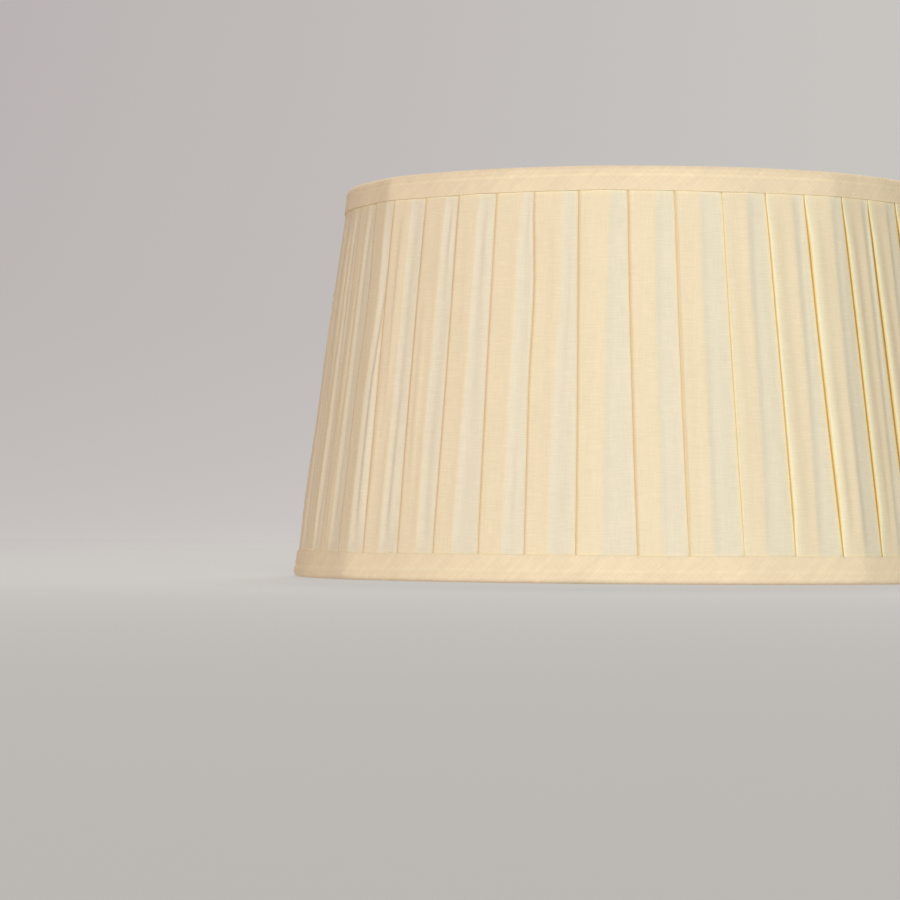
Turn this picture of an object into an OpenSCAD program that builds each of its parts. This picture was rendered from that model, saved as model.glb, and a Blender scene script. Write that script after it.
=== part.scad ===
// Knife-pleated empire lamp shade on a welded wire frame, with a reversible gimbal fitter.
// The shade stands on its wide rim: +Z is up, the axis is the Z axis, and Z = 0 is the underside
// of the lower trim. The gimbal turns about a line parallel to X.

/* [Shade] */
// Outside diameter of the wire ring at the wide lower rim
bottom_ring_d = 344; // [320:1:380]
// Outside diameter of the wire ring at the narrow upper rim
top_ring_d = 294; // [260:1:310]
// Overall height over both trims
shade_h = 196; // [170:1:220]

/* [Wire frame] */
// Wire diameter of the two rings
ring_wire = 4; // [3:0.5:5]
// Wire diameter of the upright struts, which are welded to the outside of the rings
strut_wire = 3; // [2:0.5:4]
// Depth to which two welded wires sink into each other
weld_sink = 0.3; // [0.1:0.1:0.5]

/* [Cloth] */
// Number of knife pleats round the cover
pleats = 44; // [36:4:52]
// Share of a pleat that lies three layers deep at the upper rim
fold_share_top = 0.58; // [0.4:0.01:0.62]
// Share of a pleat that lies three layers deep at the lower rim
fold_share_bottom = 0.45; // [0.3:0.01:0.6]
// Thickness of one layer of the cover, with the air that the folds trap
layer_t = 0.5; // [0.3:0.05:0.6]
// Thickness of the inner lining
lining_t = 0.6; // [0.4:0.1:0.8]
// Thickness of the cotton tape that is wound round the rings
tape_t = 0.4; // [0.2:0.1:0.6]
// Height of the upper trim on the outside
top_trim_w = 12; // [9:0.5:16]
// Height of the lower trim on the outside
bottom_trim_w = 13; // [9:0.5:16]
// Height to which both trims turn up on the inside
trim_turn_in = 9; // [7:0.5:12]
// Thickness of the folded bias tape of the trims
trim_t = 1; // [0.6:0.1:1.4]
// Width of the patch that neatens the slit round each pivot lug
neatener_w = 26; // [20:1:34]
// Height of that patch
neatener_h = 34; // [24:1:44]

/* [Gimbal] */
// Height of the gimbal's pivot line above the lower rim
pivot_h = 108; // [100:1:112]
// Height of the middle of the fitter ring, hanging at rest
fitter_h = 45; // [40:1:60]
// Wire diameter of the gimbal arms, and so of their pivot pins
gimbal_wire = 3.5; // [3:0.5:4]
// Radial running clearance between a pivot pin and its lug
pivot_clearance = 0.05; // [0.02:0.01:0.1]
// Outside diameter of the pivot lugs
lug_d = 7; // [6:0.5:8]
// Length of the pivot lugs
lug_l = 12; // [10:0.5:13]
// Bore of the fitter ring, for a wide lampholder
fitter_bore = 42; // [40:0.5:44]
// Outside diameter of the fitter ring
fitter_d = 52; // [50:1:56]
// Thickness of the fitter ring
fitter_t = 3; // [2:0.5:4]
// Bore of the reducer ring, for a narrow lampholder
reducer_bore = 29; // [27:0.5:30]
// Length of the reducer ring's bore
reducer_h = 6; // [5.5:0.5:8]

/* [Hidden] */

$fn = 96;
struts = 8;
strut_step = 360 / struts;

// Space kept between one piece of cloth and the next, or the wire under it
cloth_gap = 0.15;
turn_in_gap = 0.25;
tape_gap = 0.08;

// Rings: the centre line of each wire, and the slope of the line that joins the two
bottom_ring_r = (bottom_ring_d - ring_wire) / 2;
top_ring_r = (top_ring_d - ring_wire) / 2;
bottom_ring_z = trim_t + cloth_gap + tape_t + ring_wire / 2;
top_ring_z = shade_h - bottom_ring_z;
lean = atan((bottom_ring_r - top_ring_r) / (top_ring_z - bottom_ring_z));

// Distances square to the slope, outwards from the line through the ring centres
strut_out = (ring_wire + strut_wire) / 2 - weld_sink;
cloth_flat_out = ring_wire / 2 + tape_t + cloth_gap;
cloth_peak_out = strut_out + strut_wire / 2 + cloth_gap;
lining_out = -cloth_flat_out - lining_t;
turn_in_out = lining_out - turn_in_gap - trim_t;

// Cloth edges inside the folded trims
edge_z = trim_t + 2 * cloth_gap;
cover_t = 3 * layer_t;
trim_corner = 2;
trim_step = 3;

// A strut falls a quarter or three quarters of the way across a pleat
pleat_pitch = 360 / pleats;
strut_at = 0.25;
fold_slope = 0.03;
back_slope = 0.1;

// Gimbal
lug_out = line_r(pivot_h) + square_to_slope(strut_out - strut_wire / 2) + weld_sink;
lug_in = lug_out - lug_l;
pin_end = lug_out - 2;
pin_bend_x = lug_in - 8;
tail_bend_x = fitter_d / 2 + 8;
arm_slope = atan((pivot_h - fitter_h) / (pin_bend_x - tail_bend_x));
arm_bend_r = 10;
// The wire is drawn thinner where it is bent, and its straight lengths lap into each bend
bend_thinning = 0.04;
bend_lap = 0.3;
lug_hole_d = lug_d + 0.6;
fitter_edge = 0.5;
reducer_clear = 0.1;
reducer_wall = 2;
reducer_flange_t = 1.6;
reducer_flange_d = fitter_bore + 6;
snap_lip = 0.4;

steel = "Silver";
wire_paint = "WhiteSmoke";
cloth = "Bisque";
fine_cloth = "OldLace";
plastic = "White";

// Radius of the line through both ring centres, at height z
function line_r(z) = bottom_ring_r + (bottom_ring_z - z) * tan(lean);

// Horizontal measure of a distance taken square to the slope
function square_to_slope(d) = d / cos(lean);

// Angle from the nearest strut
function from_strut(a) = a - strut_step * round(a / strut_step);

// Radius of cloth that lies on a circle of flat_r and is held out to peak_r by each strut
function tent_r(a, flat_r, peak_r) = flat_r / cos(max(0, acos(flat_r / peak_r) - abs(from_strut(a))));

// Radius of the cover's inner face at angle a and height z
function cover_r(a, z) = tent_r(
    a,
    line_r(z) + square_to_slope(cloth_flat_out),
    line_r(z) + square_to_slope(cloth_peak_out)
);

function polar(a, r, z) = [r * cos(a), r * sin(a), z];

// Closed band through a grid of n sections of m points each, where point is a function of both
module swept_band(n, m, point) {
    polyhedron(
        points = [for (i = [0 : n - 1], k = [0 : m - 1]) point(i, k)],
        faces = [
            for (i = [0 : n - 1], k = [0 : m - 1])
            let (next_i = (i + 1) % n, next_k = (k + 1) % m)
            [i * m + k, i * m + next_k, next_i * m + next_k, next_i * m + k]
        ],
        convexity = 8
    );
}

// Ring-shaped cone shell between two heights, from inner to outer square to the slope
module cone_shell(z_low, z_high, inner, outer) {
    rotate_extrude()
        polygon([
            [line_r(z_low) + square_to_slope(inner), z_low],
            [line_r(z_low) + square_to_slope(outer), z_low],
            [line_r(z_high) + square_to_slope(outer), z_high],
            [line_r(z_high) + square_to_slope(inner), z_high]
        ]);
}

// Cylinder along X between two places, on the pivot line
module pivot_bar(x_from, x_to, d) {
    translate([x_from, 0, pivot_h])
        rotate([0, 90, 0])
            cylinder(h = x_to - x_from, d = d);
}

module wire_ring(r, z) {
    translate([0, 0, z])
        rotate_extrude()
            translate([r, 0])
                circle(d = ring_wire, $fn = 48);
}

module top_ring() {
    color(wire_paint) wire_ring(top_ring_r, top_ring_z);
}

module bottom_ring() {
    color(wire_paint) wire_ring(bottom_ring_r, bottom_ring_z);
}

// Straight wire from ring to ring, standing a little past both weld points
module strut(number) {
    past_weld = 1;
    color(wire_paint)
        rotate([0, 0, (number - 1) * strut_step])
            translate([bottom_ring_r, 0, bottom_ring_z])
                rotate([0, -lean, 0])
                    translate([strut_out, 0, -past_weld])
                        cylinder(
                            h = (top_ring_z - bottom_ring_z) / cos(lean) + 2 * past_weld,
                            d = strut_wire,
                            $fn = 32
                        );
}

// Tape wound round a ring, from strut to strut, leaving the welds bare
module ring_tape(r, z) {
    bare = asin((strut_wire / 2 + 1) / r);
    color(fine_cloth)
        for (i = [0 : struts - 1])
            translate([0, 0, z])
                rotate([0, 0, i * strut_step + bare])
                    rotate_extrude(angle = strut_step - 2 * bare)
                        translate([r, 0])
                            difference() {
                                circle(d = ring_wire + 2 * tape_t, $fn = 48);
                                circle(d = ring_wire + 2 * tape_gap, $fn = 48);
                            }
}

module top_ring_tape() {
    ring_tape(top_ring_r, top_ring_z);
}

module bottom_ring_tape() {
    ring_tape(bottom_ring_r, bottom_ring_z);
}

// Short tube welded to the inner side of a strut, in which the gimbal's pin turns
module pivot_lug() {
    color(wire_paint)
        difference() {
            pivot_bar(lug_in, lug_out, lug_d);
            pivot_bar(lug_in - 1, lug_out + 1, gimbal_wire + 2 * pivot_clearance);
        }
}

module pivot_lug_right() {
    pivot_lug();
}

module pivot_lug_left() {
    rotate([0, 0, 180]) pivot_lug();
}

// Bend in the wire in the XZ plane, centred on the origin and turning from one angle to another
module wire_bend(from, to) {
    rotate([90, 0, 0])
        rotate([0, 0, from])
            rotate_extrude(angle = to - from)
                translate([arm_bend_r, 0])
                    circle(d = gimbal_wire - bend_thinning, $fn = 32);
}

// Straight wire from the origin along X, turned down by an angle, from one distance to another
module wire_run(from, to, down) {
    rotate([0, 90 + down, 0])
        translate([0, 0, from])
            cylinder(h = to - from, d = gimbal_wire, $fn = 32);
}

// Wire from its pivot pin, down at a slope and level again to the fitter ring
module gimbal_arm() {
    tangent = arm_bend_r * tan(arm_slope / 2);
    slope_l = (pin_bend_x - tail_bend_x) / cos(arm_slope);
    tail_in = fitter_d / 2 - weld_sink;
    color(steel) {
        pivot_bar(pin_bend_x + tangent - bend_lap, pin_end, gimbal_wire);
        translate([pin_bend_x + tangent, 0, pivot_h - arm_bend_r])
            wire_bend(90, 90 + arm_slope);
        translate([tail_bend_x, 0, fitter_h])
            wire_run(tangent - bend_lap, slope_l - tangent + bend_lap, -arm_slope);
        translate([tail_bend_x - tangent, 0, fitter_h + arm_bend_r])
            wire_bend(270, 270 + arm_slope);
        translate([0, 0, fitter_h])
            wire_run(tail_in, tail_bend_x - tangent + bend_lap, 0);
    }
}

module gimbal_arm_right() {
    gimbal_arm();
}

module gimbal_arm_left() {
    rotate([0, 0, 180]) gimbal_arm();
}

// Flat steel ring with broken edges, into which the lampholder or the reducer goes
module fitter_ring() {
    inner = fitter_bore / 2;
    outer = fitter_d / 2;
    half = fitter_t / 2;
    color(steel)
        translate([0, 0, fitter_h])
            rotate_extrude()
                polygon([
                    [inner, -half],
                    [outer - fitter_edge, -half],
                    [outer, -half + fitter_edge],
                    [outer, half - fitter_edge],
                    [outer - fitter_edge, half],
                    [inner, half]
                ]);
}

// Moulded insert: a flange on the fitter ring, a snap-in rim inside it and a narrower bore
module reducer_ring() {
    seat = fitter_t / 2 + reducer_clear / 2;
    rim_r = fitter_bore / 2 - reducer_clear;
    hub_r = reducer_bore / 2;
    top = seat + reducer_flange_t;
    lip_top = -seat;
    lip_low = lip_top - 2 * snap_lip;
    color(plastic)
        translate([0, 0, fitter_h])
            rotate_extrude()
                polygon([
                    [hub_r, top - reducer_h],
                    [hub_r + reducer_wall, top - reducer_h],
                    [hub_r + reducer_wall, seat],
                    [rim_r - reducer_wall, seat],
                    [rim_r - reducer_wall, lip_low],
                    [rim_r, lip_low],
                    [rim_r + snap_lip, lip_top - snap_lip],
                    [rim_r + snap_lip, lip_top],
                    [rim_r, lip_top],
                    [rim_r, seat],
                    [reducer_flange_d / 2, seat],
                    [reducer_flange_d / 2, top],
                    [hub_r, top]
                ]);
}

// Taut inner cloth, with a hole where each pivot lug comes through
module lining() {
    color(fine_cloth)
        difference() {
            cone_shell(edge_z, shade_h - edge_z, lining_out, -cloth_flat_out);
            pivot_bar(-lug_out, lug_out, lug_hole_d);
        }
}

// Rounded patch on the lining round a pivot lug
module neatener() {
    corner = 4;
    low = pivot_h - neatener_h / 2;
    color(cloth)
        difference() {
            intersection() {
                cone_shell(low, low + neatener_h, turn_in_out, lining_out - turn_in_gap);
                translate([lug_in - 10, 0, pivot_h])
                    rotate([90, 0, 90])
                        linear_extrude(30)
                            for (side = [-1, 1]) {
                                square([neatener_w, neatener_h - 2 * corner], center = true);
                                square([neatener_w - 2 * corner, neatener_h], center = true);
                                for (end = [-1, 1])
                                    translate([side * (neatener_w / 2 - corner), end * (neatener_h / 2 - corner)])
                                        circle(r = corner);
                            }
            }
            pivot_bar(lug_in - 10, lug_out, lug_hole_d);
        }
}

module neatener_right() {
    neatener();
}

module neatener_left() {
    rotate([0, 0, 180]) neatener();
}

// Pleated cloth: each pleat has a band of three layers behind its folded edge, then a single layer
module pleated_cover() {
    low = edge_z;
    high = shade_h - edge_z;
    stations = 6;
    layers = [1, 3, 3, 3, 1, 1];
    function station(share) = [-fold_slope, 0, strut_at, share, share + back_slope, strut_at + 0.5];
    function pleat_angle(i, share) =
        (floor(i / stations) + station(share)[i % stations] - strut_at) * pleat_pitch;
    function share_at(upper) = upper ? fold_share_top : fold_share_bottom;
    function point(i, k) =
        let (
            upper = k > 1,
            outer = k == 1 || k == 2,
            z = upper ? high : low,
            a = pleat_angle(i, share_at(upper)),
            t = outer ? layers[i % stations] * layer_t : 0
        )
        polar(a, cover_r(a, z) + t, z);
    color(cloth) swept_band(pleats * stations, 4, function(i, k) point(i, k));
}

// Folded bias tape round one rim: outside over the pleats, across the edge and up inside the lining.
// Its corners are given for the lower rim. The upper rim has them mirrored at half height.
module rim_trim(width, upper) {
    outer_in = cover_t + cloth_gap;
    outer_out = outer_in + trim_t;
    inner_in = lining_out - turn_in_gap;
    round_off = trim_corner * (1 - cos(45));
    // Each corner is [height, distance, whether it follows the struts outside]
    corners = [
        [width, outer_out, true],
        [trim_corner, outer_out, true],
        [round_off, outer_out - round_off, true],
        [0, outer_out - trim_corner, true],
        [0, turn_in_out + trim_corner, false],
        [round_off, turn_in_out + round_off, false],
        [trim_corner, turn_in_out, false],
        [trim_turn_in, turn_in_out, false],
        [trim_turn_in, inner_in, false],
        [trim_t, inner_in, false],
        [trim_t, outer_in, true],
        [width, outer_in, true]
    ];
    function point(i, k) =
        let (
            a = i * trim_step,
            c = corners[upper ? len(corners) - 1 - k : k],
            z = upper ? shade_h - c[0] : c[0],
            r = c[2] ? cover_r(a, z) + c[1] : line_r(z) + square_to_slope(c[1])
        )
        polar(a, r, z);
    color(cloth) swept_band(360 / trim_step, len(corners), function(i, k) point(i, k));
}

module top_trim() {
    rim_trim(top_trim_w, true);
}

module bottom_trim() {
    rim_trim(bottom_trim_w, false);
}

top_ring();
bottom_ring();
strut(1);  // strut_1
strut(2);  // strut_2
strut(3);  // strut_3
strut(4);  // strut_4
strut(5);  // strut_5
strut(6);  // strut_6
strut(7);  // strut_7
strut(8);  // strut_8
top_ring_tape();
bottom_ring_tape();
pivot_lug_right();
pivot_lug_left();
gimbal_arm_right();
gimbal_arm_left();
fitter_ring();
reducer_ring();
lining();
neatener_right();
neatener_left();
pleated_cover();
top_trim();
bottom_trim();
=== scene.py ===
import math
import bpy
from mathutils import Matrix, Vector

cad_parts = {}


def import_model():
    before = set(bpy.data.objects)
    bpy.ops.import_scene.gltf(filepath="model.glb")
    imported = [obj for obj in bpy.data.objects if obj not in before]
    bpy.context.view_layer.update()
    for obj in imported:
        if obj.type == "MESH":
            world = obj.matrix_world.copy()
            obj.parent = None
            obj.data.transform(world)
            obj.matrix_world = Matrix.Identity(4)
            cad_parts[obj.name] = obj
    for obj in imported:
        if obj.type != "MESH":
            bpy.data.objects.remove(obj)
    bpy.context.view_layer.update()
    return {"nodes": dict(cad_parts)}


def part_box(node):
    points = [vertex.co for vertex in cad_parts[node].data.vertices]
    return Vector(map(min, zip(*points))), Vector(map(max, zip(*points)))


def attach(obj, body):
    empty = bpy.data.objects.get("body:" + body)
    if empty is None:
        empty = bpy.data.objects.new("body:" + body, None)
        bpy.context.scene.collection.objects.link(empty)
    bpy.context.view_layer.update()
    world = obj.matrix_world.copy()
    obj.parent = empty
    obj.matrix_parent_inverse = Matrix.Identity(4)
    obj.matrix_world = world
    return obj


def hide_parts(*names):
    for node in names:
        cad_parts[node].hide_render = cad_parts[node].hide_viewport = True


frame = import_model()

from types import SimpleNamespace

import bpy
import numpy as np
from mathutils import Euler, Vector

# Lengths are in metres and angles in radians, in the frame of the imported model: +Z up, the shade's
# axis on Z, its lower rim at Z = 0, and the gimbal's pivot line along X.
MM = 0.001
SEED = 44


def deg(angle):
    return math.radians(angle)


# ---------------------------------------------------------------------------------------------
# The frame that the cloth is stretched on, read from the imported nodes
# ---------------------------------------------------------------------------------------------

def ring_of(node):
    """Centre-line radius, height and wire diameter of a ring."""
    low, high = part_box(node)
    wire = high.z - low.z
    return high.x - wire / 2, (high.z + low.z) / 2, wire


BOTTOM_R, BOTTOM_Z, RING_WIRE = ring_of("bottom_ring")
TOP_R, TOP_Z, _ = ring_of("top_ring")
STRUT_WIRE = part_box("strut_3")[1].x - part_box("strut_3")[0].x
SHADE_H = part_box("top_trim")[1].z
TOP_TRIM_W = SHADE_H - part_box("top_trim")[0].z
BOTTOM_TRIM_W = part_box("bottom_trim")[1].z
COVER_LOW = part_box("pleated_cover")[0].z
COVER_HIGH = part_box("pleated_cover")[1].z
LINING_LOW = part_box("lining")[0].z
LINING_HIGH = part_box("lining")[1].z
LUG_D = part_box("pivot_lug_right")[1].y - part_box("pivot_lug_right")[0].y
PIVOT_Z = (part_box("pivot_lug_right")[1].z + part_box("pivot_lug_right")[0].z) / 2
NEATENER_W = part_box("neatener_right")[1].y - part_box("neatener_right")[0].y
NEATENER_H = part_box("neatener_right")[1].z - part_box("neatener_right")[0].z

STRUTS = 8
STRUT_STEP = 2 * math.pi / STRUTS
LEAN = math.atan2(BOTTOM_R - TOP_R, TOP_Z - BOTTOM_Z)

# Distances square to the slope, from the line through the ring centres
TAPE_T = 0.4 * MM
CLOTH_GAP = 0.15 * MM
WELD_SINK = 0.3 * MM
FLAT_OUT = RING_WIRE / 2 + TAPE_T + CLOTH_GAP
PEAK_OUT = RING_WIRE / 2 + STRUT_WIRE - WELD_SINK + CLOTH_GAP
STRUT_ROUND = deg(1.3)


def line_r(z):
    """Radius of the line through both ring centres."""
    return BOTTOM_R + (BOTTOM_Z - z) * math.tan(LEAN)


def square(distance):
    """Horizontal measure of a distance taken square to the slope."""
    return distance / math.cos(LEAN)


def tent_rise(angle, z):
    """How far the struts hold the cloth out beyond the circle of the rings."""
    flat = line_r(z) + square(FLAT_OUT)
    peak = line_r(z) + square(PEAK_OUT)
    off = angle - STRUT_STEP * np.round(angle / STRUT_STEP)
    off = np.sqrt(off ** 2 + STRUT_ROUND ** 2) - STRUT_ROUND
    return flat / np.cos(np.maximum(0, np.arccos(flat / peak) - off)) - flat


def cover_r(angle, z):
    """Radius of the cover's inner face."""
    return line_r(z) + square(FLAT_OUT) + tent_rise(angle, z)


def smooth(x):
    x = np.clip(x, 0, 1)
    return x * x * (3 - 2 * x)


def polar(angle, r, z):
    angle, r, z = np.broadcast_arrays(angle, r, z)
    return np.stack([r * np.cos(angle), r * np.sin(angle), z], -1)


# ---------------------------------------------------------------------------------------------
# Cloth meshes
# ---------------------------------------------------------------------------------------------

def slopes(grid, axis, closed):
    if closed:
        return np.roll(grid, -1, axis) - np.roll(grid, 1, axis)
    return np.gradient(grid, axis=axis)


def cloth_mesh(name, middle, thickness, uv, closed=True, values=None, sharp=deg(60)):
    """Closed mesh of a cloth from the grid of its middle surface: first axis round, second up.

    uv has one more column round than middle where the cloth closes on itself, so that its
    coordinates run on. values are numbers for each point, kept as attributes.
    """
    n, m = middle.shape[:2]
    across = np.cross(slopes(middle, 0, closed), slopes(middle, 1, False))
    across /= np.linalg.norm(across, axis=-1, keepdims=True) + 1e-12
    points = np.concatenate([middle + across * thickness / 2, middle - across * thickness / 2])
    points = points.reshape(-1, 3)
    columns = n if closed else n - 1
    i, j = np.meshgrid(np.arange(columns), np.arange(m - 1), indexing="ij")
    i, j = i.ravel(), j.ravel()
    back = n * m

    def face(corners):
        """Vertex and uv numbers of quads whose corners are (round, up, side)."""
        ids = [(a % n) * m + b + side * back for a, b, side in corners]
        places = [a * m + b for a, b, _ in corners]
        return np.stack(ids, -1), np.stack(places, -1)

    front = face([(i, j, 0), (i + 1, j, 0), (i + 1, j + 1, 0), (i, j + 1, 0)])
    rear = face([(i, j, 1), (i, j + 1, 1), (i + 1, j + 1, 1), (i + 1, j, 1)])
    k = np.arange(columns)
    first, last = np.zeros_like(k), np.full_like(k, m - 1)
    low = face([(k, first, 1), (k + 1, first, 1), (k + 1, first, 0), (k, first, 0)])
    high = face([(k, last, 0), (k + 1, last, 0), (k + 1, last, 1), (k, last, 1)])
    parts = [front, rear, low, high]
    if not closed:
        k = np.arange(m - 1)
        first, last = np.zeros_like(k), np.full_like(k, n - 1)
        parts.append(face([(first, k, 0), (first, k + 1, 0), (first, k + 1, 1), (first, k, 1)]))
        parts.append(face([(last, k, 1), (last, k + 1, 1), (last, k + 1, 0), (last, k, 0)]))
    quads = np.concatenate([p[0] for p in parts])
    places = np.concatenate([p[1] for p in parts]).ravel()

    mesh = bpy.data.meshes.new(name)
    mesh.vertices.add(len(points))
    mesh.vertices.foreach_set("co", points.astype(np.float32).ravel())
    mesh.loops.add(quads.size)
    mesh.loops.foreach_set("vertex_index", quads.astype(np.int32).ravel())
    mesh.polygons.add(len(quads))
    mesh.polygons.foreach_set("loop_start", np.arange(0, quads.size, 4, dtype=np.int32))
    mesh.update(calc_edges=True)
    layer = mesh.uv_layers.new(name="cloth")
    layer.data.foreach_set("uv", uv.reshape(-1, 2)[places].astype(np.float32).ravel())
    for key, value in (values or {}).items():
        attribute = mesh.attributes.new(key, "FLOAT", "POINT")
        doubled = np.concatenate([value, value]).astype(np.float32)
        attribute.data.foreach_set("value", doubled.ravel())
    mesh.validate()
    mesh.shade_smooth()
    mesh.set_sharp_from_angle(angle=sharp)
    obj = bpy.data.objects.new(name, mesh)
    bpy.context.scene.collection.objects.link(obj)
    return obj


def finish_piece(obj, material, body, slot, *nodes):
    """Material, body and the CAD nodes that a piece stands for. slot is not used."""
    obj.data.materials.append(material)
    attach(obj, body)
    if nodes:
        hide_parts(*nodes)
    return obj


def run_length(points):
    """Length along the first axis of a grid, from its start to each point."""
    steps = np.linalg.norm(np.diff(points, axis=0), axis=-1)
    return np.concatenate([np.zeros((1,) + steps.shape[1:]), np.cumsum(steps, axis=0)])


# ---------------------------------------------------------------------------------------------
# Pleated cover: one length of cotton in knife pleats, folded edge to the left, seen from outside
# ---------------------------------------------------------------------------------------------

PLEATS = 44
PLEAT_PITCH = 2 * math.pi / PLEATS
PLEAT_CLOTH = 46.4 * MM
COTTON_T = 0.28 * MM

# Depth of the hidden fold at the rims, and the most it may take of the distance between folds
HIDDEN_TOP = 12.3 * MM
HIDDEN_BOTTOM = 10.6 * MM
HIDDEN_MOST = 0.68

# Where the folds are pinned: evenly, then off by a slow drift and by each pin's own error. The start,
# the lean and the drift are a smooth fit to the photographed folds; each pin's error is a plain draw.
FOLD_START = deg(-83.33)
FOLD_LEAN = deg(2.24)
DRIFT_FROM = deg(-108.6)
PLACE_DRIFT = deg(0.88)
LEAN_DRIFT = deg(0.67)
PLACE_ERROR = deg(0.55)
LEAN_ERROR = deg(0.6)

# Heights of the three layers above the cover's inner face, and of the single layer at the trims
LAYER_LOW = 0.18 * MM
LAYER_MIDDLE = 0.54 * MM
LAYER_HIGH = 0.90 * MM
LAYER_HELD = 0.78 * MM
INNER_ROUND = (LAYER_MIDDLE - LAYER_LOW) / 2

# Width of the slope from the hidden layers down to the single layer
BACK_STEP = 4.2 * MM

# The folded edge: its half height pressed flat and sprung open, and its width for that height
FOLD_FLAT = 0.2 * MM
FOLD_ROUND = 0.95 * MM
FOLD_WIDE = 2.3

# How far the cloth strays from its pressed shape, half way between the trims
SAG = 0.25 * MM
RIDGE = 0.28 * MM
BILLOW = 0.95 * MM
RIPPLE = 0.55 * MM
SOFT_CREASE = 0.52 * MM
SECOND_CREASE = 0.42 * MM

# The photographed front. Folds stand open on one side of it and are pressed shut on the other.
FRONT = deg(-82)

# How far from a trim its pressing, its hold, its cover and its shade reach
FOLD_PRESSED = 26 * MM
CLOTH_PRESSED = 22 * MM
TRIM_HOLDS = 7 * MM
TRIM_COVERS = 0.8 * MM
TRIM_SHADES = 2.6 * MM

# How far painted light and shade reach beside a fold: crease glow, shadow line and highlight strip
CREASE_REACH = 1.3 * MM
CREASE_EDGE = 0.7 * MM
SHADOW_LINE_EDGE = 0.6 * MM
SHADOW_LINE_FADE = 0.5 * MM
HIGHLIGHT_REACH = 2.4 * MM


def pleat_rows():
    """Heights of the cover's rows, closer near the trims, where the pleats are pressed."""
    inside = np.linspace(0, 1, 23)
    inside = inside - 0.09 * np.sin(2 * math.pi * inside)
    low, high = BOTTOM_TRIM_W, SHADE_H - TOP_TRIM_W
    near = np.array([-0.8, 0.5]) * MM
    inside = low + 2 * MM + (high - low - 4 * MM) * inside
    return np.concatenate([[COVER_LOW], low + near, inside, (high - near)[::-1], [COVER_HIGH]])


def fold_angles(rng, height):
    """Angle of each folded edge at each share of the height."""
    even = FOLD_START + np.arange(PLEATS)[:, None] * PLEAT_PITCH
    errors = np.random.default_rng(SEED + 30).uniform(-1, 1, (2, PLEATS))
    drift = np.cos(3 * (even - DRIFT_FROM))
    place = PLACE_ERROR * errors[0][:, None] - PLACE_DRIFT * drift
    lean = FOLD_LEAN - LEAN_DRIFT * drift + LEAN_ERROR * errors[1][:, None]
    bow = rng.uniform(-1, 1, (PLEATS, 1)) * deg(0.2) * np.sin(math.pi * height)
    swept = (rng.uniform(0, 1, (PLEATS, 1)) < 0.2) * rng.uniform(0.4, 1.2, (PLEATS, 1)) * deg(0.9)
    middle = np.sin(math.pi * smooth((height - 0.45) / 0.5))
    return even + place - lean * (height - 0.5) + bow + swept * middle


def waves(rng, height, count, low, high):
    """Smooth random numbers from -1 to 1 for each pleat along its height."""
    total = 0
    for _ in range(count):
        rate = rng.uniform(low, high, (PLEATS, 1))
        total = total + np.sin(height * rate + rng.uniform(0, 2 * math.pi, (PLEATS, 1)))
    return total / count


def between_trims(z, reach):
    """0 at both trims, rising smoothly to 1 at that distance from them."""
    above_trim, below_trim = z - BOTTOM_TRIM_W, SHADE_H - TOP_TRIM_W - z
    return (smooth(above_trim / reach) * smooth(below_trim / reach))[None, :]


def trim_crease(z):
    """How much the cloth at each height lies in the shade beside and under a trim."""
    low = 1 - smooth((z - BOTTOM_TRIM_W + TRIM_COVERS) / TRIM_SHADES)
    high = 1 - smooth((SHADE_H - TOP_TRIM_W + TRIM_COVERS - z) / TRIM_SHADES)
    return 0.2 * (low + high)[None, :]


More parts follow.
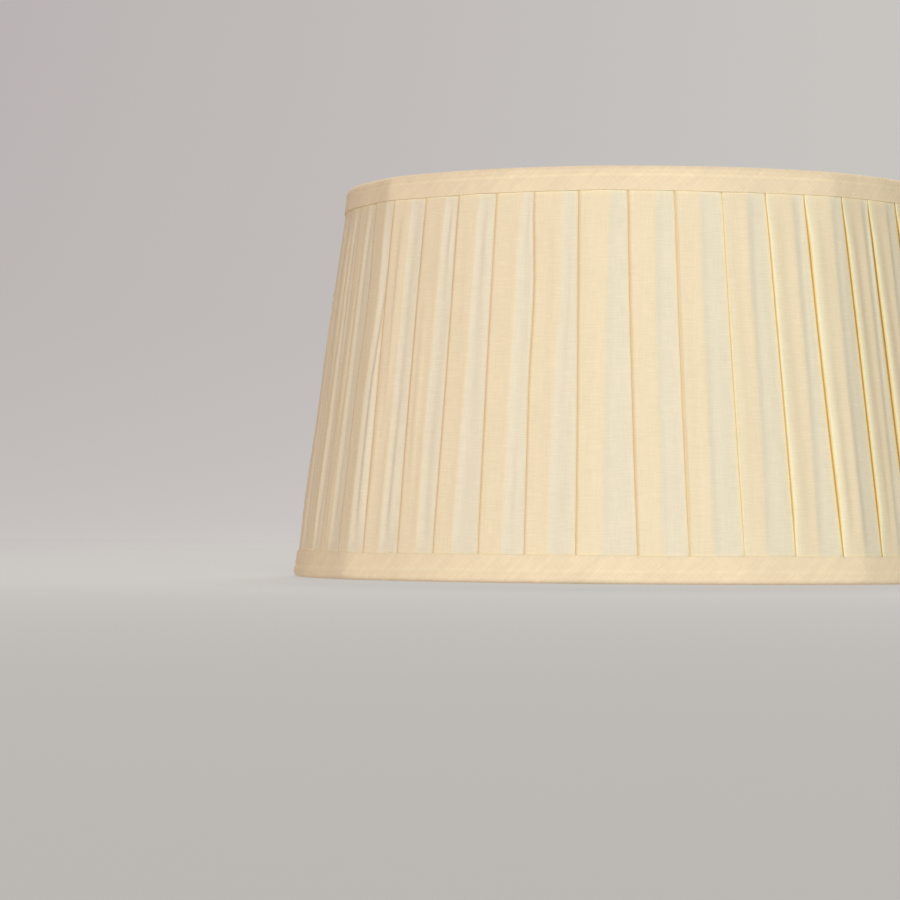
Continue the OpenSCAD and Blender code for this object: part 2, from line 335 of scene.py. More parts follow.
def pleat_shape(z):
    """Numbers that place each pleat's stations at each height, and those that colour its cloth.

    The trims press the pleats flat. Between them the folds stand up and the cloth billows,
    most at the sides, where the cloth was pinned more loosely than at the front and back.
    """
    rng = np.random.default_rng(SEED)
    height = ((z - COVER_LOW) / (COVER_HIGH - COVER_LOW))[None, :]
    lifted = between_trims(z, FOLD_PRESSED)
    free = between_trims(z, CLOTH_PRESSED)
    p = SimpleNamespace(radius=(line_r(z) + square(FLAT_OUT))[None, :], under_trim=trim_crease(z))
    p.held = (LAYER_HELD - LAYER_LOW) * (1 - between_trims(z, TRIM_HOLDS))

    p.folds = fold_angles(rng, height)
    ahead = np.roll(p.folds, -1, axis=0)
    ahead[-1] += 2 * math.pi
    p.pitch = (ahead - p.folds) * p.radius
    hidden = (HIDDEN_BOTTOM + (HIDDEN_TOP - HIDDEN_BOTTOM) * height) * np.ones((PLEATS, 1))
    hidden = hidden * (1 + 0.08 * rng.uniform(-1, 1, (PLEATS, 1)) + 0.05 * waves(rng, height, 2, 3, 9))
    p.hidden = np.minimum(hidden, HIDDEN_MOST * p.pitch)

    side = np.sin(p.folds - FRONT)
    loose = 0.25 + 0.75 * np.abs(side) ** 1.2
    rumple = 0.3 + 1.3 * (0.5 - 0.5 * side) ** 2
    p.open_fold = np.clip(0.12 + 1.5 * side, 0, 1) ** 1.1
    p.shut_fold = 1 - smooth(side / 0.45)
    p.left = np.clip(-side, 0, 1)
    # Strength of the painted shadow line along each fold: stronger on the left side and away from the
    # trims
    shadow_strength = (0.6 + 0.15 * p.left) * (0.5 + 0.5 * lifted)
    p.worn = shadow_strength * (0.85 + 0.3 * waves(rng, height, 2, 3, 9))

    puff = FOLD_FLAT + (FOLD_ROUND - FOLD_FLAT) * p.open_fold * (0.12 + 0.88 * lifted)
    puff = puff * rng.uniform(0.75, 1.1, (PLEATS, 1))
    p.puff = puff * (1 + 0.22 * waves(rng, height, 2, 4, 10) * lifted)
    p.curl = FOLD_WIDE * p.puff
    p.sag = SAG * free * (1 + 0.8 * waves(rng, height, 2, 3, 8))
    p.ridge = RIDGE * (0.25 + 0.75 * free) * (1 + 0.6 * waves(rng, height, 2, 3, 8))
    p.billow = BILLOW * free * loose * (0.6 + 0.7 * waves(rng, height, 2, 2, 6))
    p.ripple = RIPPLE * free * rumple * waves(rng, height, 2, 3, 10)
    p.crease_1 = SOFT_CREASE * free * rumple * (0.6 + waves(rng, height, 2, 3, 7))
    p.crease_1_at = rng.uniform(0.5, 0.7, (PLEATS, 1)) + 0.08 * waves(rng, height, 1, 2, 5)
    p.crease_2 = SECOND_CREASE * free * rumple * (0.5 + waves(rng, height, 2, 3, 7))
    p.crease_2_at = p.crease_1_at - rng.uniform(0.25, 0.34, (PLEATS, 1))
    p.skew = 0.55 + 0.3 * side + 0.2 * waves(rng, height, 1, 2, 5)
    return p


# The stations of a pleat, in order along its cloth. Each is a distance from the fold, a distance
# out from the cover's inner face, how far hidden layers show through (which also carries painted
# highlights and tone), and the shares of painted crease glow and shade and of the painted shadow
# line along the fold.

def folded_edge(p):
    """The middle layer, from the hidden inner fold back to the folded edge, and round that edge."""
    for share in (1.0, 0.5):
        yield p.curl + share * (p.hidden - INNER_ROUND - p.curl), LAYER_MIDDLE, 1, 1, 1
    # Round the edge the underside and inner wall are painted with crease glow and deep crease shade, an
    # open fold's loop is painted paler as a highlight, and the painted shadow line runs along it
    for step, crease in enumerate((1.0, 1.0, 1.0, 0.95, 0.70, 0.36, 0.30)):
        turn = deg(270 - 30 * step)
        out = LAYER_MIDDLE + p.puff * (1 + math.sin(turn))
        yield p.curl * (1 + math.cos(turn)), out, 1 - 0.9 * p.open_fold, crease, 0.6


def over_hidden_layers(p):
    """The fold settles on the hidden layers, up to a soft ridge where the inner fold ends."""
    crest = LAYER_MIDDLE + 2 * p.puff
    for share in (0.08, 0.18, 0.3, 0.44, 0.58, 0.72, 0.87, 1.0):
        out = crest + (LAYER_HIGH - crest) * smooth((share - 0.08) / 0.8)
        out = out - p.sag * math.sin(math.pi * share) ** 2 + p.ridge * smooth((share - 0.6) / 0.4)
        out = out + p.crease_1 * np.exp(-((share - p.crease_1_at) / 0.12) ** 2)
        out = out + p.crease_2 * np.exp(-((share - p.crease_2_at) / 0.10) ** 2)
        out = np.maximum(out, LAYER_HIGH - 0.05 * MM)
        # Painted light and shade beside the fold: the shadow line fades out from it, and on an open fold a
        # paler strip with some crease glow is a painted highlight
        edge = 0.45 * p.worn * np.exp(-share * p.hidden / SHADOW_LINE_FADE)
        highlight = 0.9 * p.open_fold * np.exp(-(share * p.hidden / HIGHLIGHT_REACH) ** 2)
        yield p.curl + share * (p.hidden - p.curl), out, 1 - highlight, 0.33 * highlight, edge


def single_layer(p):
    """Down off the inner fold, and on as a single layer up to the next fold."""
    top = LAYER_HIGH + p.ridge
    for share in (0.16, 0.38, 0.62, 1.0):
        out = top + (LAYER_LOW + p.held - top) * smooth(share) + p.billow * 0.3 * share ** 2
        # On the left side the single layer, here and up to the next fold, is painted partly in the warmer
        # layered tone, a painted shading for how that cloth looks seen at a slant
        layered = 1 - smooth(share / 0.42) * (1 - 0.6 * p.left ** 6)
        yield p.hidden + share * BACK_STEP, out, layered, 0, 0
    rest = p.pitch - p.hidden - BACK_STEP
    for share in (0.16, 0.34, 0.52, 0.68, 0.80, 0.88, 0.93, 0.97, 1.0):
        bulge = p.billow * (0.3 + 0.7 * np.sin(math.pi * share ** (2 * p.skew))) * (1 - share ** 5)
        out = LAYER_LOW + bulge + p.ripple * math.sin(2 * math.pi * share) * (1 - share)
        out = np.maximum(out, LAYER_LOW) + p.held * (1 - smooth((share - 0.85) / 0.15))
        # Nearing the next fold the single layer is painted with crease glow, deepening to crease shade at
        # the fold, and with the painted shadow line just before it
        before = (1 - share) * rest
        near = 1 - smooth((before - 0.1 * MM) / CREASE_EDGE)
        glow = np.maximum(0.55 * np.exp(-before / CREASE_REACH), near)
        edge = p.worn * (1 - smooth((before - (0.1 + 0.75 * p.left) * MM) / SHADOW_LINE_EDGE))
        yield p.hidden + BACK_STEP + share * rest, out, 0.6 * p.left ** 6, glow, edge


def under_next_fold(p):
    """On under the next fold, and round the hidden inner fold."""
    hidden_next = np.roll(p.hidden, -1, axis=0)
    # Under the next fold and round the inner fold the cloth is painted with the deep crease shade, and at
    # first with the shadow line too
    for share in (0.12, 0.6):
        yield p.pitch + share * hidden_next, LAYER_LOW, 0.5, 1, 1
    for step in range(3):
        turn = deg(-90 + 60 * step)
        along = p.pitch + hidden_next - INNER_ROUND * (1 - math.cos(turn))
        yield along, LAYER_LOW + INNER_ROUND * (1 + math.sin(turn)), 1, 1, 0


def placed(p, along, out, layered, crease, line):
    """A station of every pleat at every height: its angle, distance out and cloth attributes."""
    # Painted crease glow and shade are strongest where the folds stand open, the painted shade beside the
    # trims is added, and the painted shadow line is kept only on shut folds
    crease = np.maximum(crease * (0.25 + 0.75 * (1 - p.shut_fold)), p.under_trim)
    values = (p.folds + along / p.radius, out, layered, crease, line * p.shut_fold)
    return tuple(value * np.ones_like(p.folds) for value in values)


def cloth_coordinates(middle, z, per):
    """Place on the flat cloth: each pleat takes the same width of it at every height."""
    looped = np.concatenate([middle, middle[:1]])
    along = run_length(looped)
    whole = along[::per]
    pleat = np.minimum(np.arange(len(looped)) // per, PLEATS - 1)
    share = (along - whole[pleat]) / (whole[pleat + 1] - whole[pleat])
    across = (pleat[:, None] + share) * PLEAT_CLOTH
    up = np.broadcast_to(z / math.cos(LEAN), across.shape)
    return np.stack([across, up], -1)


def pleated_cover(material):
    z = pleat_rows()
    p = pleat_shape(z)
    stations = [*folded_edge(p), *over_hidden_layers(p), *single_layer(p), *under_next_fold(p)]
    columns = zip(*(placed(p, *station) for station in stations))
    parts = (np.stack(column, 1).reshape(-1, len(z)) for column in columns)
    angle, out, layered, crease, line = parts
    middle = polar(angle, cover_r(angle, z[None, :]) + out, z[None, :])
    cover = cloth_mesh(
        "cover_cloth", middle, COTTON_T, cloth_coordinates(middle, z, len(stations)),
        values={"layered": layered, "crease": crease, "line": line},
    )
    return finish_piece(cover, material, "shade", "cover_cloth", "pleated_cover")


# ---------------------------------------------------------------------------------------------
# Trims: bias tape with both edges turned under, folded round each rim
# ---------------------------------------------------------------------------------------------

TAPE_CLOTH_T = 0.34 * MM
TURN_UNDER = 6.6 * MM
INNER_HEM = 3.6 * MM
PLEATS_T = LAYER_HIGH + COTTON_T / 2
LINING_OUT = -FLAT_OUT - 0.6 * MM
TRIM_TURN_IN = 9 * MM


def strut_spaced_angles(coarse=12):
    """Angles round the shade that are close together at each strut, where the cloth turns sharply."""
    near = np.array([0, 0.25, 0.6, 1.2, 2.2]) / 22.5
    far = np.linspace(near[-1], 1, coarse)[1:]
    half = np.concatenate([near, far]) * STRUT_STEP / 2
    one = np.concatenate([half, (STRUT_STEP - half[1:-1])[::-1]])
    return np.concatenate([one + k * STRUT_STEP for k in range(STRUTS)])


def trim_path(width, bulge):
    """The tape's section as (out, height, whether it follows the struts), from hem to hem.

    out is measured from the cover's inner face, and height from the rim's edge.
    """
    t = TAPE_CLOTH_T
    under = PLEATS_T + 0.06 * MM + t / 2
    over = under + t + 0.04 * MM
    lone = over - 0.14 * MM
    belly = over + bulge
    inside = LINING_OUT - FLAT_OUT - 0.30 * MM - t / 2
    inside_over = inside - t - 0.04 * MM
    centre_z = BOTTOM_Z + 0.2 * MM
    path = []

    def go(out, height, outer):
        path.append((out, height, outer))

    fold_r = (over - under) / 2
    # Outer hem, from its raw edge up to the fold and back down over it
    for share in (0, 0.5, 1):
        go(under, width - TURN_UNDER + share * (TURN_UNDER - fold_r), 1)
    for turn in (45, 90, 135):
        go(under + fold_r * (1 - math.cos(deg(turn))), width - fold_r * (1 - math.sin(deg(turn))), 1)
    go(over, width - fold_r, 1)
    for share in (0.25, 0.5, 0.75, 0.95):
        go(over, width - share * TURN_UNDER, 1)
    go(lone, width - TURN_UNDER - 0.4 * MM, 1)
    go(lone + 0.3 * (belly - lone), width - TURN_UNDER - 1.0 * MM, 1)
    go(belly - 0.12 * MM, min(width - TURN_UNDER - 1.9 * MM, centre_z + 1.1 * MM), 1)
    # Round the ring
    half = (belly - inside_over) / 2
    middle = (belly + inside_over) / 2
    depth = centre_z - t / 2
    for turn in range(0, 181, 15):
        c, s = math.cos(deg(turn)), math.sin(deg(turn))
        go(middle + half * np.sign(c) * abs(c) ** 0.8, centre_z - depth * s ** 0.75, (1 + c) / 2)
    # Inner leg and its hem
    go(inside_over + 0.25 * (inside - inside_over), TRIM_TURN_IN - 1.3 * INNER_HEM, 0)
    go(inside_over, TRIM_TURN_IN - 0.75 * INNER_HEM, 0)
    go(inside_over, TRIM_TURN_IN - fold_r, 0)
    for turn in (45, 90, 135):
        rise = fold_r * (1 - math.sin(deg(turn)))
        go(inside_over + fold_r * (1 - math.cos(deg(turn))), TRIM_TURN_IN - rise, 0)
    go(inside, TRIM_TURN_IN - fold_r, 0)
    go(inside, TRIM_TURN_IN - INNER_HEM, 0)
    return np.array(path)


def hem_shade(shape, upper):
    """How much of each row lies in the crease under the outer hem."""
    rows = np.zeros(shape[1])
    rows[:7] = (0.9, 0.9, 0.9, 0.7, 0.35, 0.1, 0)
    rows[11:13] = (0.12, 0.12)
    return np.broadcast_to(rows[::-1] if upper else rows, shape)


def rim_trim(name, material, width, bulge, upper, join_at):
    """Trim of one rim, bulging over its ring. At join_at the tape's end laps over its start."""
    rng = np.random.default_rng(SEED + int(upper))
    angle = strut_spaced_angles()[:, None]
    out, height, follows = (column[None, :] for column in trim_path(width, bulge).T)
    hem = smooth((height - 0.45 * width) / (0.4 * width)) * follows
    wander = sum(
        np.sin(angle * rate + rng.uniform(0, 2 * math.pi)) * size
        for rate, size in ((3, 0.10), (7, 0.08), (13, 0.06), (29, 0.05))
    )
    height = height + wander * MM * hem
    lap = smooth((6 * MM - np.abs(angle - join_at) * BOTTOM_R) / (0.8 * MM))
    swell = 0.05 * MM * np.sin(angle * 17 + rng.uniform(0, 6))
    swell = swell + 0.04 * MM * np.sin(angle * 41 + rng.uniform(0, 6))
    out = out + (swell + 0.3 * MM * lap) * follows
    z = SHADE_H - height if upper else height
    r = line_r(z) + square(FLAT_OUT) + tent_rise(angle, z) * follows + out
    middle = polar(angle, r, z)
    if upper:
        middle = middle[:, ::-1]
    looped = np.concatenate([middle, middle[:1]])
    across = run_length(looped[:, :, :2])
    across = np.repeat(across[:, :1], middle.shape[1], axis=1)
    up = run_length(np.swapaxes(looped, 0, 1)).T
    trim = cloth_mesh(
        name, middle[:, ::-1], TAPE_CLOTH_T, np.stack([across, up], -1)[:, ::-1],
        values={"crease": hem_shade(middle.shape[:2], upper)[:, ::-1]},
    )
    return finish_piece(trim, material, "shade", "trim_cloth", "top_trim" if upper else "bottom_trim")


# ---------------------------------------------------------------------------------------------
# Lining, neateners and ring tapes
# ---------------------------------------------------------------------------------------------

LINING_T = 0.3 * MM
LINING_COLUMNS = 256
NEATENER_T = 0.5 * MM
NEATENER_COLUMNS = 96
NEATENER_SQUARENESS = 6

# Ring tape: from turn to turn, how far a turn rises over the last, and the bare wire at a strut
TAPE_PITCH = 9 * MM
TAPE_LIFT = 0.22 * MM
TAPE_BARE = 1 * MM


def lining(material):
    rng = np.random.default_rng(SEED + 10)
    angle = (np.arange(LINING_COLUMNS) * 2 * math.pi / LINING_COLUMNS)[:, None]
    z = np.linspace(LINING_LOW, LINING_HIGH, 40)[None, :]
    height = (z - LINING_LOW) / (LINING_HIGH - LINING_LOW)
    slack = np.sin(math.pi * height) ** 0.8
    folds = 0
    for rate, size in ((11, 0.22), (19, 0.2), (37, 0.12), (61, 0.07)):
        drift = rng.uniform(-0.8, 0.8) * height
        folds = folds + size * np.sin(rate * (angle + drift * 0.1) + rng.uniform(0, 2 * math.pi))
    seam = 0.25 * np.exp(-((angle - deg(90)) * line_r(z) / (1.2 * MM)) ** 2)
    waist = 0.5 * slack
    out = -FLAT_OUT - 0.3 * MM - (folds * slack * 0.6 + waist + seam * 0.4) * MM
    middle = polar(angle, line_r(z) + square(out), z)
    turn = np.arange(LINING_COLUMNS + 1)[:, None] * 2 * math.pi / LINING_COLUMNS
    uv = np.stack(np.broadcast_arrays(turn * (BOTTOM_R + TOP_R) / 2, z / math.cos(LEAN)), -1)
    cloth = cloth_mesh("lining_cloth", middle, LINING_T, uv)
    return finish_piece(cloth, material, "shade", "lining_cloth", "lining")


def neatener(name, node, side, material):
    """Rounded patch round a pivot lug, with turned edges. side is 1 at +X and -1 at -X."""
    rng = np.random.default_rng(SEED + 20 + side)
    turn = (np.arange(NEATENER_COLUMNS) * 2 * math.pi / NEATENER_COLUMNS)[:, None]
    hole = LUG_D / 2 + 0.35 * MM
    half_w, half_h, power = NEATENER_W / 2, NEATENER_H / 2, NEATENER_SQUARENESS
    rim = (np.abs(np.cos(turn) / half_w) ** power + np.abs(np.sin(turn) / half_h) ** power) ** (-1 / power)
    share = np.array([0, 0.1, 0.25, 0.45, 0.65, 0.82, 0.93, 1.0])[None, :]
    reach = hole + (rim - hole) * share
    across, up = reach * np.cos(turn), reach * np.sin(turn)
    z = PIVOT_Z + up
    pucker = 0.25 * np.sin(turn * 9 + rng.uniform(0, 6)) * (1 - share) * share * 4
    hem = 0.35 * smooth((share - 0.75) / 0.1)
    base = line_r(z) + square(LINING_OUT - 0.75 * MM)
    r = base - (pucker * 0.5 + hem * 0.6 - 0.3 + 0.25 * smooth((share - 0.95) / 0.05)) * MM
    angle = -across / base
    middle = polar(angle + (0 if side > 0 else math.pi), r, z)
    looped_turn = np.arange(NEATENER_COLUMNS + 1)[:, None] * 2 * math.pi / NEATENER_COLUMNS
    rim_loop = np.concatenate([reach, reach[:1]])
    uv = np.stack([rim_loop * np.cos(looped_turn), rim_loop * np.sin(looped_turn)], -1)
    patch = cloth_mesh(name, middle, NEATENER_T, uv)
    return finish_piece(patch, material, "shade", "trim_cloth", node)


def ring_tape(name, node, r, z, material):
    """Cotton tape wound round a ring between the struts, each turn lapping over the last."""
    bare = math.asin((STRUT_WIRE / 2 + TAPE_BARE) / r)
    verts, faces, uvs = [], [], []
    for k in range(STRUTS):
        angle = np.linspace(k * STRUT_STEP + bare, (k + 1) * STRUT_STEP - bare, 120)[:, None]
        round_wire = np.linspace(0, 2 * math.pi, 21)[None, :]
        phase = (angle * r / TAPE_PITCH + round_wire / (2 * math.pi)) % 1
        lift = TAPE_LIFT * smooth(phase / 0.9) * smooth((1 - phase) / 0.06)
        out = RING_WIRE / 2 + 0.1 * MM + lift
        points = polar(angle, r + out * np.cos(round_wire), z + out * np.sin(round_wire))
        along = angle[:, 0] * r
        n, m = points.shape[0], points.shape[1] - 1
        start = len(verts)
        verts.extend(points[:, :m].reshape(-1, 3).tolist())
        for i in range(n - 1):
            low, high = start + i * m, start + (i + 1) * m
            for j in range(m):
                after = (j + 1) % m
                faces.append([low + j, high + j, high + after, low + after])
                for a, b in ((i, j), (i + 1, j), (i + 1, j + 1), (i, j + 1)):
                    uvs.append((float(along[a]) + TAPE_PITCH / 2 * b / m, RING_WIRE * math.pi * b / m))
        faces.append([start + j for j in range(m)])
        uvs.extend([(0.0, 0.0)] * m)
        faces.append([start + (n - 1) * m + j for j in reversed(range(m))])
        uvs.extend([(0.0, 0.0)] * m)
    mesh = bpy.data.meshes.new(name)
    mesh.from_pydata(verts, [], faces)
    layer = mesh.uv_layers.new(name="cloth")
    layer.data.foreach_set("uv", np.array(uvs, np.float32).ravel())
    mesh.shade_smooth()
    mesh.set_sharp_from_angle(angle=deg(50))
    obj = bpy.data.objects.new(name, mesh)
    bpy.context.scene.collection.objects.link(obj)
    return finish_piece(obj, material, "shade", "tape_cloth", node)


# ---------------------------------------------------------------------------------------------
# Materials
# ---------------------------------------------------------------------------------------------

class Nodes:
    """Short way to write a node material: every call adds a node and returns its output."""

    def __init__(self, name):
        self.material = bpy.data.materials.new(name)
        self.material.use_nodes = True
        self.tree = self.material.node_tree
        self.shader = self.tree.nodes["Principled BSDF"]

    def add(self, kind, output=0, settings=None, **inputs):
        node = self.tree.nodes.new(kind)
        for key, value in (settings or {}).items():
            setattr(node, key, value)
        for key, value in inputs.items():
            place = int(key[1:]) if key[0] == "_" else key.replace("_", " ")
            self.put(node.inputs[place], value)
        return node.outputs[output]

    def put(self, socket, value):
        if isinstance(value, bpy.types.NodeSocket):
            self.tree.links.new(value, socket)
        else:
            socket.default_value = value

    def set(self, **inputs):
        for key, value in inputs.items():
            self.put(self.shader.inputs[key.replace("_", " ")], value)

    def math(self, operation, a, b=0.0, c=0.0):
        return self.add("ShaderNodeMath", settings={"operation": operation}, _0=a, _1=b, _2=c)

    def mix(self, share, a, b, blend="MIX"):
        settings = {"data_type": "RGBA", "blend_type": blend}
        a, b = ((*colour, 1) if isinstance(colour, tuple) else colour for colour in (a, b))
        return self.add("ShaderNodeMix", output=2, settings=settings, _0=share, _6=a, _7=b)

    def scaled(self, vector, x, y, z=1.0, turn=0.0):
        return self.add("ShaderNodeMapping", Vector=vector, Scale=(x, y, z), Rotation=(0, 0, turn))

    def noise(self, vector, scale, detail=2.0, roughness=0.5):
        settings = {"noise_dimensions": "3D"}
        return self.add(
            "ShaderNodeTexNoise", settings=settings, Vector=vector, Scale=scale, Detail=detail,
            Roughness=roughness
        )

    def ramp(self, value, low, high, out_low=0.0, out_high=1.0):
        return self.add("ShaderNodeMapRange", _0=value, _1=low, _2=high, _3=out_low, _4=out_high)

    def attribute(self, name):
        return self.add("ShaderNodeAttribute", output=2, settings={"attribute_name": name})

    def scaled_colour(self, colour, share):
        settings = {"operation": "SCALE"}
        return self.add("ShaderNodeVectorMath", settings=settings, _0=colour, Scale=share)


def cotton(
        name, single, layered=None, folds=False, thread=0.42 * MM, turn=0.0, slub=1.0,
        blotch=0.012, streak=0,
):
    """Plain-weave cotton. single and layered are its colours as one layer and over hidden layers.

    With folds, a crease is painted with the glow and shade of light coming through it, and a painted
    shadow line runs along each fold.
    """
    m = Nodes(name)
    cloth = m.add("ShaderNodeUVMap", settings={"uv_map": "cloth"})
    cloth = m.scaled(cloth, 1, 1, turn=turn)
    # Slubs: thicker lengths of thread, long along the thread and one or two threads wide
    weft = m.noise(m.scaled(cloth, 120, 1700), 1.0, 3.0, 0.6)
    warp = m.noise(m.scaled(cloth, 1500, 90), 1.0, 3.0, 0.6)
    mottle = m.noise(cloth, 36.0, 2.0)
    grey = m.math("ADD", m.ramp(weft, 0.3, 0.7, -0.04 * slub, 0.03 * slub), 1.0)
    grey = m.math("ADD", grey, m.ramp(warp, 0.3, 0.7, -0.03 * slub, 0.022 * slub))
    grey = m.math("ADD", grey, m.ramp(mottle, 0.3, 0.7, -blotch, blotch))
    # A thick thread here and there
    thick = m.noise(m.scaled(cloth, 170, 2100), 1.0, 1.0)
    grey = m.math("ADD", grey, m.ramp(thick, 0.62, 0.76, 0.0, 0.07 * slub))
    if streak:
        strands = m.noise(m.scaled(cloth, 45, 260), 1.0, 2.0)
        grey = m.math("ADD", grey, m.ramp(strands, 0.3, 0.7, -streak, streak))
    colour = single
    if layered:
        colour = m.mix(m.attribute("layered"), colour, layered)
    if folds:
        # Painted light and shade: crease glow, deep crease shade, and the shadow line along each fold
        share = m.attribute("crease")
        colour = m.mix(m.ramp(share, 0.0, 0.5), colour, CREASE_GLOW)
        colour = m.mix(m.ramp(share, 0.4, 1.0), colour, CREASE_DEEP)
        colour = m.mix(m.attribute("line"), colour, FOLD_SHADOW_LINE, "MULTIPLY")
    colour = m.scaled_colour(colour, grey)
    # Weave: threads over and under each other, a little uneven
    uneven = m.noise(m.scaled(cloth, 300, 300), 1.0, 1.0)
    place = m.add("ShaderNodeSeparateXYZ", Vector=cloth).node
    u = m.math("MULTIPLY_ADD", place.outputs[0], math.pi / thread, m.math("MULTIPLY", uneven, 1.6))
    v = m.math("MULTIPLY_ADD", place.outputs[1], math.pi / thread, m.math("MULTIPLY", uneven, 1.6))
    bumps = m.math("ABSOLUTE", m.math("MULTIPLY", m.math("SINE", u), m.math("SINE", v)))
    threads = m.math("MULTIPLY", m.math("ADD", weft, warp), 0.7)
    height = m.math("ADD", m.math("MULTIPLY", bumps, 0.6), threads)
    bump = m.add("ShaderNodeBump", Strength=0.3, Distance=0.10 * MM, Height=height)
    m.set(Base_Color=colour, Roughness=0.88, Normal=bump)
    m.set(Sheen_Weight=0.15, Sheen_Roughness=0.45, Sheen_Tint=(1.0, 0.88, 0.72, 1))
    m.set(Specular_IOR_Level=0.2)
    return m.material


def painted_wire():
    """Off-white powder coat on wire, with fine orange peel."""
    m = Nodes("powder_coat")
    place = m.add("ShaderNodeTexCoord", output=3)
    peel = m.noise(place, 900.0, 3.0)
    dirt = m.noise(place, 60.0, 4.0, 0.65)
    colour = m.mix(m.ramp(dirt, 0.45, 0.75), (0.74, 0.72, 0.66), (0.60, 0.56, 0.49))
    bump = m.add("ShaderNodeBump", Strength=0.25, Distance=0.05 * MM, Height=peel)
    m.set(Base_Color=colour, Roughness=m.ramp(peel, 0.3, 0.7, 0.34, 0.5), Normal=bump)
    m.set(Coat_Weight=0.15)
    return m.material


def zinc_steel():
    """Zinc-plated steel wire and ring, drawn lengthwise, with dull patches."""
    m = Nodes("zinc_steel")
    place = m.add("ShaderNodeTexCoord", output=3)
    drawn = m.noise(m.scaled(place, 80, 2600, 900), 1.0, 3.0, 0.6)
    patch = m.noise(place, 140.0, 4.0, 0.6)
    colour = m.mix(m.ramp(patch, 0.35, 0.7), (0.62, 0.63, 0.64), (0.44, 0.44, 0.43))
    rough = m.math("ADD", m.ramp(patch, 0.3, 0.7, 0.26, 0.44), m.ramp(drawn, 0.3, 0.7, -0.05, 0.05))
    bump = m.add("ShaderNodeBump", Strength=0.3, Distance=0.03 * MM, Height=drawn)
    m.set(Base_Color=colour, Roughness=rough, Normal=bump, Metallic=1.0)
    return m.material


def moulded_plastic():
    """White moulded plastic with a fine spark-eroded texture."""
    m = Nodes("white_plastic")
    place = m.add("ShaderNodeTexCoord", output=3)
    grain = m.noise(place, 2600.0, 2.0)
    flow = m.noise(place, 45.0, 3.0)
    colour = m.mix(flow, (0.83, 0.82, 0.78), (0.78, 0.77, 0.72))
    bump = m.add("ShaderNodeBump", Strength=0.2, Distance=0.03 * MM, Height=grain)
    m.set(Base_Color=colour, Roughness=m.ramp(grain, 0.3, 0.7, 0.42, 0.56), Normal=bump)
    return m.material


# ---------------------------------------------------------------------------------------------
# Studio
# ---------------------------------------------------------------------------------------------

VIEW_TURN = deg(8.0)
CAMERA_AWAY = 1.848
CAMERA_HEIGHT = 0.0298
CAMERA_LENS = 145.2
CAMERA_YAW = deg(2.978)
CAMERA_PITCH = deg(1.08)
CAMERA_ROLL = deg(0.40)


def round_view(side, away, height):
    """Place to the side of the shade and away in front of it, as the photograph's view is turned."""
    return Vector((
        side * math.cos(VIEW_TURN) + away * math.sin(VIEW_TURN),
        side * math.sin(VIEW_TURN) - away * math.cos(VIEW_TURN),
        height,
    ))


def camera():
    data = bpy.data.cameras.new("camera")
    data.lens = CAMERA_LENS
    data.sensor_width = 36
    data.dof.use_dof = False
    obj = bpy.data.objects.new("camera", data)
    obj.location = round_view(0, CAMERA_AWAY, CAMERA_HEIGHT)
    aim = Euler((math.pi / 2 + CAMERA_PITCH, 0, VIEW_TURN + CAMERA_YAW)).to_matrix()
    roll = Euler((0, 0, CAMERA_ROLL)).to_matrix()
    obj.rotation_euler = (aim @ roll).to_euler()
    bpy.context.scene.collection.objects.link(obj)
    bpy.context.scene.camera = obj


LAMP_TARGET = Vector((0, 0, 0.10))


def area_light(name, place, size, power, colour):
    """Round lamp aimed at the shade. size is its width in metres and power is in watts."""
    data = bpy.data.lights.new(name, "AREA")
    data.shape = "DISK"
    data.size = size
    data.energy = power
    data.color = colour
    obj = bpy.data.objects.new(name, data)
    obj.location = place
    obj.rotation_euler = (LAMP_TARGET - Vector(place)).to_track_quat("-Z", "Y").to_euler()
    obj.visible_camera = False
    bpy.context.scene.collection.objects.link(obj)


FLOOR_R = 2.6
SWEEP_BEND = 3.4
WALL_TOP = 3.6
SWEEP_GLOW = 0.72
SWEEP_PAINT = 0.35
SWEEP_FAR_LEFT = (0.50, 0.45, 0.42)
SWEEP_LEFT = (0.58, 0.53, 0.54)
SWEEP_MIDDLE = (0.70, 0.68, 0.66)
SWEEP_RIGHT = (0.46, 0.42, 0.31)

# The lamps light the flat floor more than the bend, so the floor glows less, least of all near by
FLOOR_GLOW_NEAR = 0.82
FLOOR_GLOW_FAR = 0.98


def sweep():
    """Pale floor that curves up into a low wall all round, so that no edge shows."""
    steps, count = 24, 128
    profile = [(FLOOR_R, 0.0)]
    for k in range(1, steps + 1):
        turn = k / steps * math.pi / 2
        profile.append((FLOOR_R + SWEEP_BEND * math.sin(turn), SWEEP_BEND * (1 - math.cos(turn))))
    profile.append((FLOOR_R + SWEEP_BEND, WALL_TOP))
    verts = [(0, 0, 0)]
    for r, z in profile:
        for k in range(count):
            turn = 2 * math.pi * k / count
            verts.append((r * math.cos(turn), r * math.sin(turn), z))
    faces = [(0, 1 + k, 1 + (k + 1) % count) for k in range(count)]
    for row in range(len(profile) - 1):
        low, high = 1 + row * count, 1 + (row + 1) * count
        for k in range(count):
            faces.append((low + k, high + k, high + (k + 1) % count, low + (k + 1) % count))
    mesh = bpy.data.meshes.new("studio_sweep")
    mesh.from_pydata(verts, [], faces)
    mesh.shade_smooth()
    obj = bpy.data.objects.new("studio_sweep", mesh)
    bpy.context.scene.collection.objects.link(obj)
    obj.data.materials.append(sweep_paint())


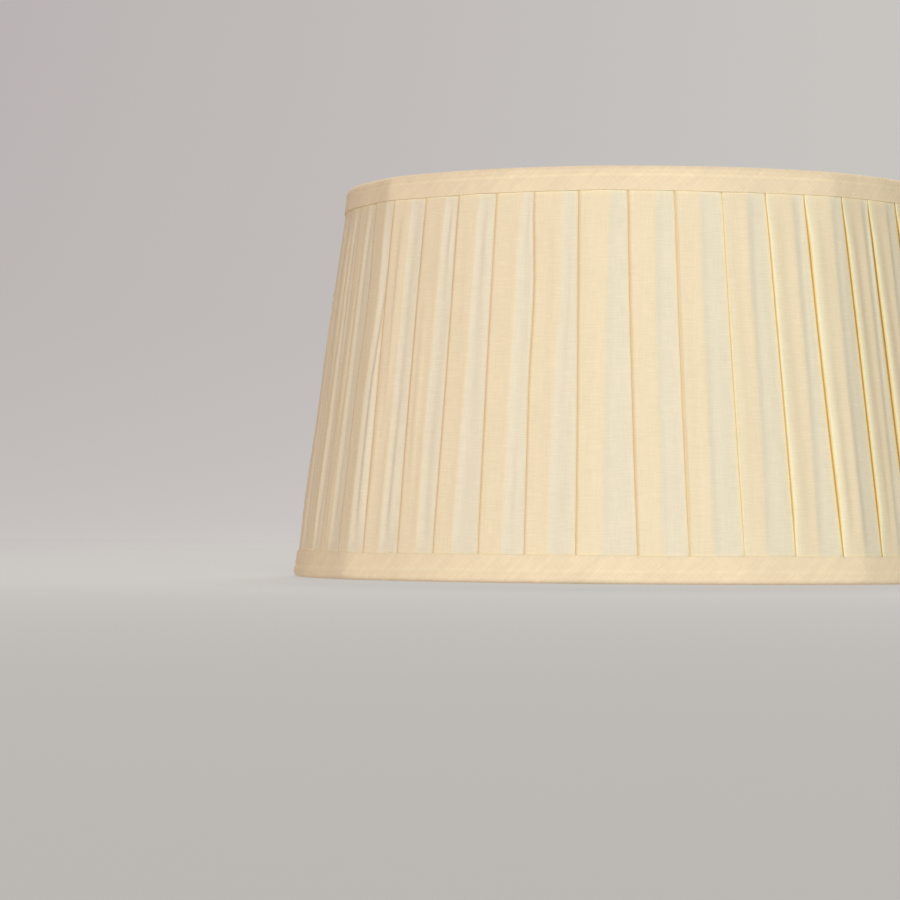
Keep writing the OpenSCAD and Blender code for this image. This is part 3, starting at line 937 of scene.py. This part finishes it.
def sweep_paint():
    """Paint whose tone changes across the room, and which glows, less on the floor and up high."""
    m = Nodes("sweep_paint")
    place = m.add("ShaderNodeTexCoord", output=3)
    x, y, z = m.add("ShaderNodeSeparateXYZ", Vector=place).node.outputs
    colour = m.mix(m.ramp(x, -2.2, -0.3), SWEEP_LEFT, SWEEP_MIDDLE)
    colour = m.mix(m.ramp(x, 0.4, 2.4), colour, SWEEP_RIGHT)
    colour = m.mix(m.ramp(x, -2.6, -3.6), colour, SWEEP_FAR_LEFT)
    grain = m.noise(place, 40.0, 3.0)
    paint = m.scaled_colour(colour, SWEEP_PAINT)
    m.set(Base_Color=paint, Roughness=m.ramp(grain, 0.3, 0.7, 0.85, 0.95), Specular_IOR_Level=0.0)
    glow = m.math("MULTIPLY", m.ramp(z, 2.2, 1.4), m.ramp(y, -3.0, -0.3, 0.3, 1.0))
    floor_share = m.ramp(y, 1.4, 2.6, FLOOR_GLOW_NEAR, FLOOR_GLOW_FAR)
    glow = m.math("MULTIPLY", glow, m.ramp(z, 0.0, 0.004, floor_share, 1.0))
    m.set(Emission_Color=colour, Emission_Strength=m.math("MULTIPLY", glow, SWEEP_GLOW))
    return m.material


def world(colour, strength):
    data = bpy.data.worlds.new("studio_light")
    data.use_nodes = True
    data.node_tree.nodes["Background"].inputs[0].default_value = (*colour, 1)
    data.node_tree.nodes["Background"].inputs[1].default_value = strength
    bpy.context.scene.world = data


def studio():
    """Soft light: a broad key from the camera's side, warm weak fills at the left, and a back light."""
    sweep()
    world((1.0, 0.88, 0.72), 0.14)
    area_light("top", (0, 0.3, 2.6), size=0.9, power=12.0, colour=(1.0, 0.95, 0.88))
    area_light("key", round_view(0.2, 4.0, 1.0), size=2.4, power=140.0, colour=(0.985, 1.0, 0.976))
    area_light("left", round_view(-2.6, 2.2, 0.8), size=1.4, power=8.0, colour=(1.0, 0.55, 0.55))
    area_light("far_left", round_view(-3.2, 0.3, 0.6), size=1.2, power=3.0, colour=(1.0, 0.45, 0.2))
    area_light("back", round_view(0.2, -2.0, 2.2), size=0.9, power=34.0, colour=(1.0, 0.98, 0.95))
    bpy.context.scene.view_settings.view_transform = "Standard"


# ---------------------------------------------------------------------------------------------
# The shade
# ---------------------------------------------------------------------------------------------

def dress_nodes(material, *names):
    for name in names:
        node = frame["nodes"][name]
        node.data.materials.clear()
        node.data.materials.append(material)
        for polygon in node.data.polygons:
            polygon.material_index = 0


# Cloth colours, set by tone against the photograph under the studio's lamps
SINGLE_LAYER = (0.825, 0.748, 0.58)
THREE_LAYERS = (0.875, 0.745, 0.525)
# Painted light and shade: the glow and deep shade in creases, and the shadow line along folds
CREASE_GLOW = (0.98, 0.89, 0.60)
CREASE_DEEP = (0.72, 0.50, 0.16)
FOLD_SHADOW_LINE = (0.81, 0.63, 0.45)
TRIM = (0.88, 0.73, 0.515)

camera()
studio()

cover_cotton = cotton("cover_cotton", SINGLE_LAYER, THREE_LAYERS, folds=True)
trim_cotton = cotton("trim_cotton", TRIM, folds=True, turn=deg(45), slub=1.1, blotch=0.022, streak=0.03)
lining_cotton = cotton("lining_cotton", (0.86, 0.82, 0.73), thread=0.3 * MM, slub=0.6)
tape_cotton = cotton("tape_cotton", (0.80, 0.75, 0.64), thread=0.5 * MM)

pleated_cover(cover_cotton)
rim_trim("top_trim_tape", trim_cotton, TOP_TRIM_W, 0.15 * MM, True, deg(-41.4))
rim_trim("bottom_trim_tape", trim_cotton, BOTTOM_TRIM_W, 0.40 * MM, False, deg(140))
lining(lining_cotton)
neatener("neatener_patch_right", "neatener_right", 1, trim_cotton)
neatener("neatener_patch_left", "neatener_left", -1, trim_cotton)
ring_tape("top_ring_winding", "top_ring_tape", TOP_R, TOP_Z, tape_cotton)
ring_tape("bottom_ring_winding", "bottom_ring_tape", BOTTOM_R, BOTTOM_Z, tape_cotton)

dress_nodes(painted_wire(), "top_ring", "bottom_ring", "pivot_lug_right", "pivot_lug_left",
            *(f"strut_{k}" for k in range(1, STRUTS + 1)))
dress_nodes(zinc_steel(), "gimbal_arm_right", "gimbal_arm_left", "fitter_ring")
dress_nodes(moulded_plastic(), "reducer_ring")
